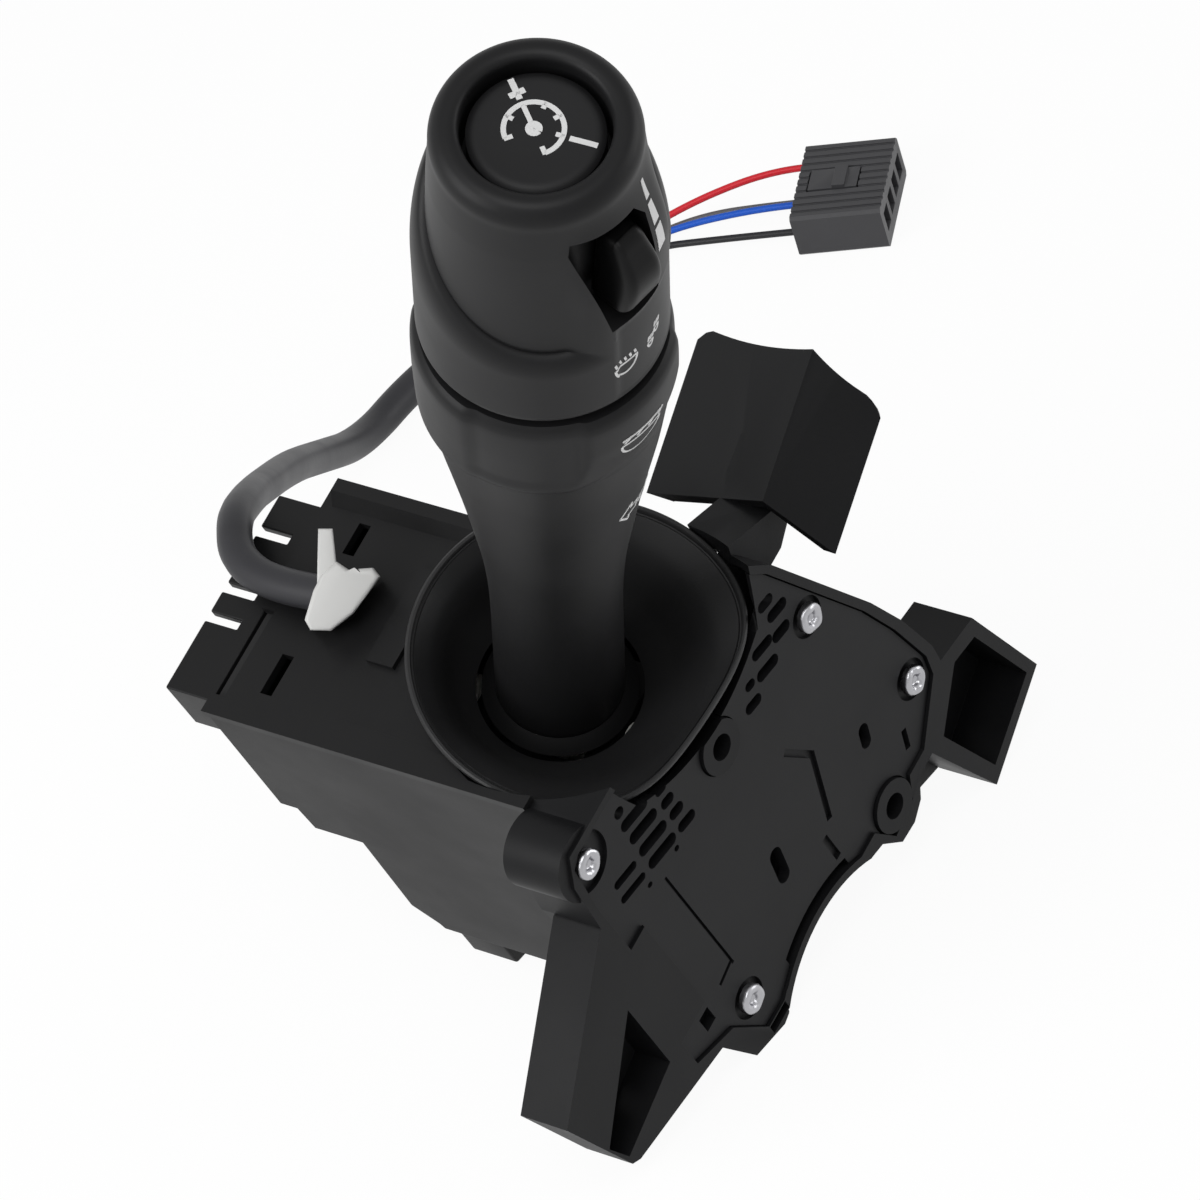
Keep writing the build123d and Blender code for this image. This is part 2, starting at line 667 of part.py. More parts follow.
sheath_lift = sheath_d / 2
cable_route = [(-56.0, -7.0, 9.5), (-69.0, -7.0, 9.5), (-80.5, -4.0, 9.2), (-89.0, 3.5, 7.2),
               (-100.0, 12.0, -4.5), (-118.0, 25.5, -27.0), (-139.0, 46.5, -57.5),
               (-163.0, 65.0, -92.0), on_floor(-178.0, 117.0, sheath_lift),
               on_floor(-179.5, 139.0, sheath_lift), on_floor(-175.0, 161.0, sheath_lift),
               on_floor(-167.0, 181.0, sheath_lift), on_floor(-160.5, 193.0, sheath_lift)]

# Plug on the floor: its centre, its turn about the vertical and its four wire entries
plug_x = -119.1
plug_y = 226.4
plug_turn = 27.0
plug_wide = 21.0
plug_long = 27.0
plug_high = 11.0
wire_plan = {
    "wire_red": (9.5, 7.5, [(-161.3, 194.0, 4.95), (-158.5, 201.0, 5.6), (-150.5, 214.0, 7.0)]),
    "wire_grey": (1.5, 3.8, [(-161.3, 194.0, 2.55), (-158.9, 201.2, 2.6), (-150.0, 212.0, 3.2)]),
    "wire_blue": (-4.0, 7.5, [(-159.2, 192.9, 4.95), (-155.3, 199.4, 5.2), (-147.0, 206.0, 6.6)]),
    "wire_black": (-9.0, 3.8, [(-159.2, 192.9, 2.55), (-155.1, 199.0, 2.6), (-144.5, 204.0, 3.2)]),
}


def plug_point(along, across, lift):
    """Point on the floor in the plug's own directions, from its centre."""
    turn = math.radians(plug_turn)
    x = plug_x + along * math.cos(turn) - across * math.sin(turn)
    y = plug_y + along * math.sin(turn) + across * math.cos(turn)
    return on_floor(x, y, lift)


def wire_route(name):
    """Way of one wire from the sheath's end into its cell of the plug."""
    across, lift, points = wire_plan[name]
    route = [on_floor(*point) for point in points]
    route.append(plug_point(-plug_wide / 2 - 8.0, across, lift))
    route.append(plug_point(-plug_wide / 2, across, lift))
    return route


def plug_place(shape):
    """Set a piece of the plug, drawn about its own base centre, on the floor."""
    lift = floor_y * math.sin(math.radians(stand_angle)) + floor_z * math.cos(math.radians(stand_angle))
    laid = Pos(plug_x, plug_y, lift) * Rot(0, 0, plug_turn) * shape
    return Rot(-stand_angle, 0, 0) * laid


def plug_housing():
    """Four-way plug body with ribs, open at its mating end."""
    body = Pos(0, 0, plug_high / 2) * Box(plug_wide, plug_long, plug_high)
    body = chamfer(body.edges().filter_by(Axis.X), 0.8)
    for i in range(10):
        y = -plug_long / 2 + 2.4 + i * 2.45
        body = body - Pos(0, y, plug_high) * Box(plug_wide + 1, 0.9, 0.9)
    for i in range(4):
        y = -9.0 + i * 6.0
        body = body - Pos(plug_wide / 2, y, plug_high / 2) * Box(14.0, 4.0, 5.0)
    body = body - Pos(-2.0, 0, plug_high) * Box(12.0, 7.6, 2.4)
    return plug_place(body)


def plug_latch():
    """Sprung latch in the middle of the plug's ribbed face."""
    tongue = Pos(-2.0, 0, plug_high - 0.55) * Box(11.4, 7.0, 1.1)
    step = Pos(-0.5, 0, plug_high + 0.3) * Box(3.0, 7.0, 0.8)
    return plug_place(tongue + step)


def tube(points, diameter, label):
    """Round tube along straight runs joined by the largest arcs that they allow."""
    vectors = [Vector(*p) for p in points]
    radii = []
    for before, here, after in zip(vectors, vectors[1:], vectors[2:]):
        turn = math.radians((here - before).get_angle(after - here))
        shorter = min((here - before).length, (after - here).length)
        radii.append(0.45 * shorter / math.tan(turn / 2))
    path = FilletPolyline(*vectors, radius=radii)
    start = Plane(origin=tuple(vectors[0]), z_dir=tuple((vectors[1] - vectors[0]).normalized()))
    solid = sweep(start * Circle(diameter / 2), path=path)
    ideal = math.pi * diameter ** 2 / 4 * path.length
    print(label, "length", round(path.length, 1), "radii", [round(r, 1) for r in radii],
          "volume ratio", round(solid.volume / ideal, 4))
    return solid


def cable_gland():
    """Raised outlet on the lid that the wiring sheath comes out of."""
    top = house_top + lid_thick
    body = block(gland_back, gland_back + 9.0, -12.5, -1.5, top, 9.5)
    return body + rod_x(-7.0, 9.5, 5.5, gland_back, gland_back + 9.0) - funnel_outer(seat_gap)


def cable_tie():
    """Tie round the sheath, with its head."""
    ring = rod_x(0, 0, sheath_d / 2 + 1.5, -2.2, 2.2) - rod_x(0, 0, sheath_d / 2 + 0.2, -3, 3)
    head = block(-3.2, 3.2, -3.0, 3.0, sheath_d / 2 + 0.6, sheath_d / 2 + 5.0)
    tail = block(-0.6, 0.6, -2.0, 2.0, sheath_d / 2 + 4.9, sheath_d / 2 + 18.0)
    return Pos(gland_back - 4.0, -7.0, 9.5) * (ring + head + tail)


def row_place(shape):
    """Turn a piece from the column frame to the standing frame."""
    return Pos(*shift) * (Rot(stand_angle, 0, 0) * shape)


pieces = {
    "bracket_frame": bracket_frame(),
    "front_cover": front_cover(),
    "cover_rivets": cover_rivets(),
    "main_housing": main_housing(),
    "housing_cover": housing_cover(),
    "lower_housing": lower_housing(),
    "harness_socket": harness_socket(),
    "socket_terminals": socket_terminals(),
    "funnel_shroud": funnel_shroud(),
    "connector_hood": connector_hood(),
    "cable_comb": cable_comb(),
    "circuit_board": circuit_board(),
    "board_posts": board_posts(),
    "detent_block": detent_block(),
    "carrier_bushes": carrier_bushes(),
    "cable_gland": cable_gland(),
    "cable_tie": cable_tie(),
    "turn_carrier": turn_carrier(),
    "lever_pin": lever_pin(),
    "lever_stem": lever_stem(),
    "dust_shield": dust_shield(),
    "fog_ring": fog_ring(),
    "headlamp_knob": headlamp_knob(),
    "cruise_slider": cruise_slider(),
    "end_button": end_button(),
}

turned_pieces = {name: Rot(stand_angle, 0, 0) * shape for name, shape in pieces.items()}
box = Compound(children=list(turned_pieces.values())).bounding_box()
shift = (-(box.min.X + box.max.X) / 2, -(box.min.Y + box.max.Y) / 2, -box.min.Z)
pieces["wiring_sheath"] = tube(cable_route, sheath_d, "wiring_sheath")
for name in wire_plan:
    pieces[name] = tube(wire_route(name), wire_d, name)
pieces["plug_housing"] = plug_housing()
pieces["plug_latch"] = plug_latch()

for name, shape in pieces.items():
    export_step(row_place(shape), f"parts/{name}.step")
print("shift", [round(v, 4) for v in shift], "pivot", pivot, "axis", axis_dir)
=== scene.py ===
"""Blender scene of the combination stalk switch.

Everything is drawn in the column frame of the part, in millimetres, and set in the standing
frame at the end: +X along the steering column, +Z out along the lever side, origin at the
centre of the funnel's rim.
"""
import json
import math

import bmesh
import bpy
from mathutils import Matrix, Vector


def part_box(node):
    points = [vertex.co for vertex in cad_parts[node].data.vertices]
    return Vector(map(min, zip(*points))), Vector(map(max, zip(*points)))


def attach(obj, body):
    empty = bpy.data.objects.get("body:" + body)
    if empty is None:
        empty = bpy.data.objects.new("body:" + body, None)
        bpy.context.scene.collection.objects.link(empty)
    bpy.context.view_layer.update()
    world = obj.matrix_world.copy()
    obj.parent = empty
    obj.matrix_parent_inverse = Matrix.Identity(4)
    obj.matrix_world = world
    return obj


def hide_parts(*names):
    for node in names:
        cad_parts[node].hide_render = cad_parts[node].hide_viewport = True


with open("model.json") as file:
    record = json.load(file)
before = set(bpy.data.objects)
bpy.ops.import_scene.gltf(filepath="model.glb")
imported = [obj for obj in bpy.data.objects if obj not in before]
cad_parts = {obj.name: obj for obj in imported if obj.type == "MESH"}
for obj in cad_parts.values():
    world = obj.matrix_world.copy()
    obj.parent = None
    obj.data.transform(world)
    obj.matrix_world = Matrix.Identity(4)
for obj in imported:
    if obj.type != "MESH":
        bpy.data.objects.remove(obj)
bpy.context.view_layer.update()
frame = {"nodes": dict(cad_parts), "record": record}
nodes = frame["nodes"]
scene = bpy.context.scene

MM = 0.001
STAND_ANGLE = math.radians(18.0)
PIVOT = Vector((-18.8055, -3.07333, -29.1646))
LEVER_FOOT = Vector((-6.0, 0.0, 0.0))
LEVER_AXIS = Vector((0.400, 0.096, 0.911)).normalized()

# Places on the lever, measured along it from its foot
STEM_TOP = 106.97
RING_LOW = 107.0
RING_HIGH = 132.6
RING_FLUSH_R = 23.32
KNOB_LOW = 135.2
KNOB_TOP = 205.0
WELL_R = 14.2
BUTTON_R = 13.0
BUTTON_TOP = 202.1
COLLAR_R = 24.4
COLLAR_LOW_EDGE = 157.5
COLLAR_RISE = 17.0
COLLAR_LOW_ANGLE = math.radians(-52.0)
PLATFORM_ANGLE = math.radians(-4.0)
RECESS_DEPTH = 8.5
RECESS_REACH = 24.0
WALL_SLOPE = 0.55

# Funnel
FUNNEL_DEPTH = 20.0
FUNNEL_FRONT = 26.8
THROAT_SHIFT = 5.5
FUNNEL_RIM_R = 35.4
FLATTENING = 3.0


# Placing

turn = Matrix.Rotation(STAND_ANGLE, 4, "X")
pin_low, pin_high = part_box("lever_pin")
shift = (pin_low + pin_high) / 2 - turn @ (PIVOT * MM)
COLUMN = Matrix.Translation(shift) @ turn @ Matrix.Scale(MM, 4)

side_dir = (Vector((1, 0, 0)) - LEVER_AXIS * LEVER_AXIS.x).normalized()
third_dir = LEVER_AXIS.cross(side_dir)


def axes_at(origin):
    """Frame of the lever's own directions at a point of the column frame."""
    place = Matrix((side_dir, third_dir, LEVER_AXIS)).transposed().to_4x4()
    place.translation = origin
    return place


LEVER = COLUMN @ axes_at(LEVER_FOOT)
FUNNEL = COLUMN @ axes_at(Vector((0, 0, 0)))


def drawn(point):
    """Point of the column frame, in millimetres, as a point of the scene."""
    return COLUMN @ Vector(point)


def smooth_step(low, high, value):
    t = min(1.0, max(0.0, (value - low) / (high - low)))
    return t * t * (3 - 2 * t)


def link(name, data):
    piece = bpy.data.objects.new(name, data)
    scene.collection.objects.link(piece)
    return piece


# Shader node groups

def new_group(name, inputs, outputs):
    group = bpy.data.node_groups.new(name, "ShaderNodeTree")
    for label, kind, value in inputs:
        socket = group.interface.new_socket(name=label, in_out="INPUT", socket_type=kind)
        socket.default_value = value
    for label, kind in outputs:
        group.interface.new_socket(name=label, in_out="OUTPUT", socket_type=kind)
    return group, group.nodes.new("NodeGroupInput"), group.nodes.new("NodeGroupOutput")


def feed(tree, socket, value):
    """Give a socket a number or a colour, or link another socket to it."""
    if isinstance(value, (int, float, tuple)):
        socket.default_value = value
    else:
        tree.links.new(value, socket)


def noise(tree, coords, scale, detail, roughness=0.5):
    node = tree.nodes.new("ShaderNodeTexNoise")
    for label, value in (("Vector", coords), ("Scale", scale), ("Detail", detail), ("Roughness", roughness)):
        feed(tree, node.inputs[label], value)
    return node.outputs["Fac"]


def calculated(tree, operation, *values):
    node = tree.nodes.new("ShaderNodeMath")
    node.operation = operation
    for socket, value in zip(node.inputs, values):
        feed(tree, socket, value)
    return node.outputs[0]


def map_range(tree, value, low, high, to_low, to_high):
    node = tree.nodes.new("ShaderNodeMapRange")
    for label, number in (("Value", value), ("From Min", low), ("From Max", high), ("To Min", to_low),
                          ("To Max", to_high)):
        feed(tree, node.inputs[label], number)
    return node.outputs["Result"]


def mixed_colour(tree, factor, first, second):
    node = tree.nodes.new("ShaderNodeMix")
    node.data_type = "RGBA"
    for socket, value in ((node.inputs["Factor"], factor), (node.inputs[6], first), (node.inputs[7], second)):
        feed(tree, socket, value)
    return node.outputs[2]


def mixed_shader(tree, factor, first, second, output):
    """Send a mix of two shaders to the output node."""
    node = tree.nodes.new("ShaderNodeMixShader")
    for socket, value in zip(node.inputs, (factor, first, second)):
        feed(tree, socket, value)
    tree.links.new(node.outputs["Shader"], tree.nodes[output].inputs["Surface"])


def moulded_grain_group():
    """Spark-eroded grain of moulded plastic: fine pits, slow tone changes and a few pale scuffs."""
    group, put_in, put_out = new_group(
        "moulded grain",
        [("Tone", "NodeSocketColor", (0.03, 0.03, 0.03, 1)),
         ("Rub", "NodeSocketColor", (0.08, 0.08, 0.08, 1)),
         ("Roughness", "NodeSocketFloat", 0.5), ("Spread", "NodeSocketFloat", 0.08),
         ("Scuffs", "NodeSocketFloat", 0.1), ("Grain scale", "NodeSocketFloat", 2600.0)],
        [("Color", "NodeSocketColor"), ("Roughness", "NodeSocketFloat"), ("Height", "NodeSocketFloat")])
    place = group.nodes.new("ShaderNodeTexCoord").outputs["Object"]
    tone, rub = put_in.outputs["Tone"], put_in.outputs["Rub"]
    grain = noise(group, place, put_in.outputs["Grain scale"], 3.0)
    slow = noise(group, place, 38.0, 4.0, 0.6)
    scuff = noise(group, place, 240.0, 6.0, 0.75)
    patch = noise(group, place, 60.0, 2.0)
    scuffed = calculated(group, "MULTIPLY", map_range(group, scuff, 0.60, 0.72, 0.0, 1.0),
                         map_range(group, patch, 0.48, 0.66, 0.0, put_in.outputs["Scuffs"]))
    tone = mixed_colour(group, map_range(group, slow, 0.3, 0.7, 0.0, 0.22), tone, rub)
    rough = calculated(group, "MULTIPLY_ADD", map_range(group, slow, 0.3, 0.7, -1.0, 1.0),
                       put_in.outputs["Spread"], put_in.outputs["Roughness"])
    group.links.new(mixed_colour(group, scuffed, tone, rub), put_out.inputs["Color"])
    group.links.new(rough, put_out.inputs["Roughness"])
    group.links.new(grain, put_out.inputs["Height"])
    return group


GRAIN = moulded_grain_group()
GRAIN_HEIGHT = 0.0001


def moulding(name, tone, rub, roughness, spread=0.06, scuffs=0.25, grain=2600.0, depth=0.18, specular=0.25):
    """Plastic with moulded grain."""
    material = bpy.data.materials.new(name)
    material.use_nodes = True
    tree = material.node_tree
    shader = tree.nodes["Principled BSDF"]
    node = tree.nodes.new("ShaderNodeGroup")
    node.node_tree = GRAIN
    for label, value in (("Tone", (*tone, 1)), ("Rub", (*rub, 1)), ("Roughness", roughness),
                         ("Spread", spread), ("Scuffs", scuffs), ("Grain scale", grain)):
        node.inputs[label].default_value = value
    bump = tree.nodes.new("ShaderNodeBump")
    bump.inputs["Strength"].default_value = depth
    bump.inputs["Distance"].default_value = GRAIN_HEIGHT
    tree.links.new(node.outputs["Height"], bump.inputs["Height"])
    tree.links.new(bump.outputs["Normal"], shader.inputs["Normal"])
    tree.links.new(node.outputs["Color"], shader.inputs["Base Color"])
    tree.links.new(node.outputs["Roughness"], shader.inputs["Roughness"])
    shader.inputs["Specular IOR Level"].default_value = specular
    return material


def metal(name, tone, rub, roughness, grain, depth):
    """Worked metal with a fine uneven surface."""
    material = moulding(name, tone, rub, roughness, 0.1, 0.5, grain, depth)
    material.node_tree.nodes["Principled BSDF"].inputs["Metallic"].default_value = 1.0
    return material


lever_plastic = moulding(
    "lever satin plastic", (0.0078, 0.0078, 0.0083), (0.012, 0.012, 0.0125), 0.46, 0.03, 0.12,
    3400.0, 0.12, 0.15)
slider_plastic = moulding(
    "slider plastic", (0.0035, 0.0035, 0.0037), (0.008, 0.008, 0.0083), 0.42, 0.03, 0.2, 2600.0, 0.15, 0.125)
button_plastic = moulding(
    "button plastic", (0.0090, 0.0090, 0.0096), (0.016, 0.016, 0.0165), 0.50, 0.03, 0.1, 3400.0, 0.12, 0.175)
frame_plastic = moulding(
    "bracket plastic", (0.0050, 0.0051, 0.0056), (0.011, 0.011, 0.0118), 0.48, 0.05, 0.3, specular=0.14)
cover_plastic = moulding(
    "cover plastic", (0.0062, 0.0063, 0.0070), (0.013, 0.013, 0.0138), 0.46, 0.05, 0.3, specular=0.15)
housing_plastic = moulding(
    "housing plastic", (0.0120, 0.0120, 0.0124), (0.021, 0.021, 0.022), 0.52, 0.05, 0.25, specular=0.18)
lid_plastic = moulding(
    "lid plastic", (0.0048, 0.0048, 0.0051), (0.011, 0.011, 0.0115), 0.44, 0.05, 0.3, specular=0.18)
funnel_plastic = moulding(
    "funnel plastic", (0.0125, 0.0125, 0.0130), (0.016, 0.016, 0.0165), 0.44, 0.04, 0.2)
plug_plastic = moulding(
    "plug plastic", (0.042, 0.042, 0.045), (0.070, 0.070, 0.075), 0.42, 0.05, 0.2, 2000.0, 0.15)
carrier_plastic = moulding("carrier plastic", (0.0040, 0.0040, 0.0042), (0.009, 0.009, 0.0095), 0.50)
shield_plastic = moulding(
    "shield plastic", (0.0030, 0.0030, 0.0032), (0.006, 0.006, 0.0062), 0.55, specular=0.125)
natural_plastic = moulding("natural acetal", (0.70, 0.69, 0.64), (0.80, 0.79, 0.76), 0.4)
tie_nylon = moulding("tie nylon", (0.50, 0.50, 0.49), (0.60, 0.60, 0.59), 0.42, 0.05, 0.2, 1400.0, 0.1)
board_laminate = moulding("board laminate", (0.03, 0.13, 0.07), (0.06, 0.2, 0.11), 0.45)
sheath_vinyl = moulding(
    "sheath vinyl", (0.022, 0.022, 0.025), (0.045, 0.045, 0.05), 0.50, 0.06, 0.3, 900.0, 0.2)
mark_paint = moulding("mark paint", (0.62, 0.62, 0.62), (0.74, 0.74, 0.74), 0.55, 0.04, 0.1)
wire_colours = {
    "red": ((0.62, 0.018, 0.030), (0.70, 0.06, 0.07), 0.38),
    "blue": ((0.010, 0.085, 0.50), (0.03, 0.14, 0.60), 0.38),
    "grey": ((0.11, 0.11, 0.115), (0.17, 0.17, 0.175), 0.42),
    "black": ((0.015, 0.015, 0.017), (0.03, 0.03, 0.033), 0.42),
}
wire_paints = {"wire_" + colour: moulding(colour + " wire vinyl", *finish, 0.04, 0.2, 1500.0, 0.1)
               for colour, finish in wire_colours.items()}
rivet_metal = metal("rivet metal", (0.40, 0.40, 0.42), (0.54, 0.54, 0.56), 0.30, 700.0, 0.9)
pin_steel = metal("pin steel", (0.50, 0.50, 0.52), (0.60, 0.60, 0.62), 0.32, 1800.0, 0.3)
terminal_metal = metal("terminal metal", (0.60, 0.52, 0.36), (0.70, 0.62, 0.45), 0.35, 1500.0, 0.3)

node_finish = {
    "bracket_frame": frame_plastic, "front_cover": cover_plastic, "cover_rivets": rivet_metal,
    "main_housing": housing_plastic, "housing_cover": lid_plastic, "lower_housing": housing_plastic,
    "harness_socket": housing_plastic, "socket_terminals": terminal_metal, "funnel_shroud": funnel_plastic,
    "connector_hood": frame_plastic, "cable_comb": lid_plastic, "circuit_board": board_laminate,
    "board_posts": housing_plastic, "carrier_bushes": natural_plastic, "detent_block": natural_plastic,
    "turn_carrier": carrier_plastic, "lever_pin": pin_steel, "lever_stem": lever_plastic,
    "dust_shield": shield_plastic, "fog_ring": lever_plastic, "headlamp_knob": lever_plastic,
    "cruise_slider": slider_plastic, "end_button": button_plastic, "cable_gland": lid_plastic,
    "cable_tie": tie_nylon, "wiring_sheath": sheath_vinyl, "plug_housing": plug_plastic,
    "plug_latch": plug_plastic, **wire_paints,
}
for name, finish in node_finish.items():
    nodes[name].data.materials.clear()
    nodes[name].data.materials.append(finish)

body_of = {node: body for body, members in frame["record"]["behaviour"]["bodies"].items()
           for node in members}


# Mesh helpers

def finish_piece(name, bm, finish, node, sharp=38.0, place=None, replaced=True):
    """Turn a bmesh into a piece that stands for a node or rides with it."""
    if place is not None:
        bmesh.ops.transform(bm, matrix=place, verts=bm.verts)
    bmesh.ops.remove_doubles(bm, verts=bm.verts, dist=1e-7)
    bmesh.ops.recalc_face_normals(bm, faces=bm.faces)
    mesh = bpy.data.meshes.new(name)
    bm.to_mesh(mesh)
    bm.free()
    mesh.materials.append(finish)
    mesh.shade_smooth()
    mesh.set_sharp_from_angle(angle=math.radians(sharp))
    piece = link(name, mesh)
    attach(piece, body_of[node])
    if replaced:
        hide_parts(node)
    return piece


def rounded_copy(node, edge):
    """Copy of a node with its moulded edges rounded."""
    sharp = 30.0
    bm = bmesh.new()
    bm.from_mesh(nodes[node].data)
    bmesh.ops.remove_doubles(bm, verts=bm.verts, dist=2e-6)
    bmesh.ops.dissolve_limit(bm, angle_limit=math.radians(0.6), verts=bm.verts, edges=bm.edges)
    piece = finish_piece(node + "_moulded", bm, node_finish[node], node, sharp)
    bevel = piece.modifiers.new("edges", "BEVEL")
    bevel.width = edge * MM
    bevel.segments = 2
    bevel.limit_method = "ANGLE"
    bevel.angle_limit = math.radians(sharp)
    bevel.harden_normals = True
    return piece


def lathe(profile, steps=128):
    """Body of revolution about Z from an outline of radius and height."""
    bm = bmesh.new()
    points = [bm.verts.new((radius, 0, height)) for radius, height in profile]
    edges = [bm.edges.new(pair) for pair in zip(points, points[1:])]
    bmesh.ops.spin(bm, geom=points + edges, cent=(0, 0, 0), axis=(0, 0, 1), angle=2 * math.pi,
                   steps=steps, use_merge=True)
    bmesh.ops.remove_doubles(bm, verts=bm.verts, dist=1e-5)
    return bm


def curve_points(corners, step):
    """Smooth line through the corners, as points about one step apart."""
    corners = [Vector(c) for c in corners]
    padded = [corners[0] * 2 - corners[1]] + corners + [corners[-1] * 2 - corners[-2]]
    out = []
    for before, here, after, beyond in zip(padded, padded[1:], padded[2:], padded[3:]):
        count = max(1, round((after - here).length / step))
        for i in range(count):
            t = i / count
            out.append(0.5 * (2 * here + (after - before) * t
                              + (2 * before - 5 * here + 4 * after - beyond) * t * t
                              + (3 * here - before - 3 * after + beyond) * t * t * t))
    return [tuple(p) for p in out] + [tuple(corners[-1])]


# Camera, lamps and floor

VIEW_RIGHT = Vector((0.779038, 0.473915, -0.410493))
VIEW_UP = Vector((-0.223043, 0.821370, 0.524979))
VIEW_BACK = Vector((0.585962, -0.317421, 0.745582))

camera_data = bpy.data.cameras.new("camera")
camera_data.sensor_width = 36.0
camera_data.lens = 300.0
camera_data.clip_end = 20.0
camera = link("camera", camera_data)
camera_axes = Matrix((VIEW_RIGHT, VIEW_UP, VIEW_BACK)).transposed()
camera_spot = drawn(VIEW_RIGHT * 3.6 + VIEW_UP * 10.4 + VIEW_BACK * 2000.0)
camera.matrix_world = Matrix.Translation(camera_spot) @ (turn.to_3x3() @ camera_axes).to_4x4()
scene.camera = camera
middle = drawn((-20, 10, 0))


def soft_lamp(name, right, up, back, size, power):
    """Large square lamp, placed by the camera's directions and aimed at the part."""
    data = bpy.data.lights.new(name, "AREA")
    data.shape = "SQUARE"
    data.size = size
    data.energy = power
    lamp = link(name, data)
    spot = middle + turn.to_3x3() @ (VIEW_RIGHT * right + VIEW_UP * up + VIEW_BACK * back)
    lamp.location = spot
    lamp.rotation_euler = (middle - spot).to_track_quat("-Z", "Y").to_euler()
    return lamp


soft_lamp("left_softbox", -1.1, -0.15, 0.75, 0.8, 12.0)
soft_lamp("front_softbox", -0.25, 0.45, 1.4, 0.9, 10.0)
soft_lamp("right_softbox", 1.2, 0.6, 0.1, 0.7, 5.0)


def background_rays(tree):
    """One for rays that show the background: from the camera, off metal or through glass."""
    path = tree.nodes.new("ShaderNodeLightPath")
    total = path.outputs["Is Camera Ray"]
    for label in ("Is Glossy Ray", "Is Transmission Ray"):
        total = calculated(tree, "MAXIMUM", total, path.outputs[label])
    return total


AMBIENT = 0.30
FLOOR_WHITE = 0.94

world = bpy.data.worlds.new("studio")
scene.world = world
world.use_nodes = True
world_tree = world.node_tree
ambient = world_tree.nodes["Background"]
ambient.inputs["Color"].default_value = (1, 1, 1, 1)
ambient.inputs["Strength"].default_value = AMBIENT
plain_white = world_tree.nodes.new("ShaderNodeBackground")
plain_white.inputs["Strength"].default_value = 1.0
mixed_shader(world_tree, background_rays(world_tree), ambient.outputs[0], plain_white.outputs[0],
             "World Output")
scene.view_settings.view_transform = "Standard"

floor_bm = bmesh.new()
bmesh.ops.create_grid(floor_bm, x_segments=1, y_segments=1, size=8.0)
floor_mesh = bpy.data.meshes.new("floor")
floor_bm.to_mesh(floor_mesh)
floor_bm.free()
floor = link("floor", floor_mesh)
floor_paint = bpy.data.materials.new("floor paint")
floor_paint.use_nodes = True
floor_tree = floor_paint.node_tree
floor_shader = floor_tree.nodes["Principled BSDF"]
floor_shader.inputs["Base Color"].default_value = (0.93, 0.93, 0.93, 1)
floor_shader.inputs["Roughness"].default_value = 0.9
floor_glow = floor_tree.nodes.new("ShaderNodeEmission")
floor_share = calculated(floor_tree, "MULTIPLY", background_rays(floor_tree), FLOOR_WHITE)
mixed_shader(floor_tree, floor_share, floor_shader.outputs[0], floor_glow.outputs[0], "Material Output")
floor_mesh.materials.append(floor_paint)


# Wiring

FLOOR_Y = -29.8
FLOOR_Z = -87.8
floor_low = FLOOR_Y * math.sin(STAND_ANGLE) + FLOOR_Z * math.cos(STAND_ANGLE)


def on_floor(x, y, lift):
    """Point over the standing plane, given by its place there and its height."""
    low = floor_low + lift
    return (x, y * math.cos(STAND_ANGLE) + low * math.sin(STAND_ANGLE),
            -y * math.sin(STAND_ANGLE) + low * math.cos(STAND_ANGLE))


PLUG_X = -119.1
PLUG_Y = 226.4
PLUG_TURN = math.radians(27.0)
PLUG_WIDE = 21.0


def by_plug(along, across, lift):
    """Point on the floor in the plug's own directions, from its centre."""
    x = PLUG_X + along * math.cos(PLUG_TURN) - across * math.sin(PLUG_TURN)
    y = PLUG_Y + along * math.sin(PLUG_TURN) + across * math.cos(PLUG_TURN)
    return on_floor(x, y, lift)


def free_cord(node, route, diameter):
    """Free cord that stands for a node, on one smooth line along its route."""
    data = bpy.data.curves.new(node + "_line", "CURVE")
    data.dimensions = "3D"
    data.resolution_u = 10
    data.bevel_depth = diameter / 2 * MM
    data.bevel_resolution = 6
    data.use_fill_caps = True
    spline = data.splines.new("NURBS")
    spline.points.add(len(route) - 1)
    for point, spot in zip(spline.points, route):
        point.co = (*drawn(spot), 1)
    spline.order_u = 3
    spline.use_endpoint_u = True
    data.materials.append(node_finish[node])
    piece = link(node + "_cord", data)
    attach(piece, body_of[node])
    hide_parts(node)
    return piece


sheath_route = [(-57.0, -7.6, 9.8), (-69.6, -8.8, 9.2), (-82.0, -5.8, 9.4), (-90.0, 3.5, 7.6),
                (-99.5, 14.0, -4.3), (-117.5, 26.5, -27.0), (-139.0, 46.5, -57.5), (-163.0, 65.0, -92.0),
                on_floor(-178.0, 117.0, 3.75), on_floor(-179.5, 139.0, 3.75), on_floor(-175.0, 161.0, 3.75),
                on_floor(-167.0, 181.0, 3.75), on_floor(-160.5, 193.0, 3.75)]
wire_plan = {
    "wire_red": (9.5, 7.5, 47.0, [(-161.3, 194.0, 4.95), (-158.5, 201.0, 5.6), (-150.5, 214.0, 7.0)]),
    "wire_grey": (1.5, 3.8, 45.0, [(-161.3, 194.0, 2.55), (-158.9, 201.2, 2.6), (-150.0, 212.0, 3.2)]),
    "wire_blue": (-4.0, 7.5, 42.0, [(-159.2, 192.9, 4.95), (-155.3, 199.4, 5.2), (-147.0, 206.0, 6.6)]),
    "wire_black": (-9.0, 3.8, 41.0, [(-159.2, 192.9, 2.55), (-155.1, 199.0, 2.6), (-144.5, 204.0, 3.2)]),
}
free_cord("wiring_sheath", sheath_route, 7.5)
for wire, (across, lift, length, spots) in wire_plan.items():
    route = [on_floor(*spot) for spot in spots]
    route += [by_plug(-PLUG_WIDE / 2 - 8.0, across, lift), by_plug(-PLUG_WIDE / 2, across, lift)]
    free_cord(wire, route, 1.6)


# Nylon tie over the gland

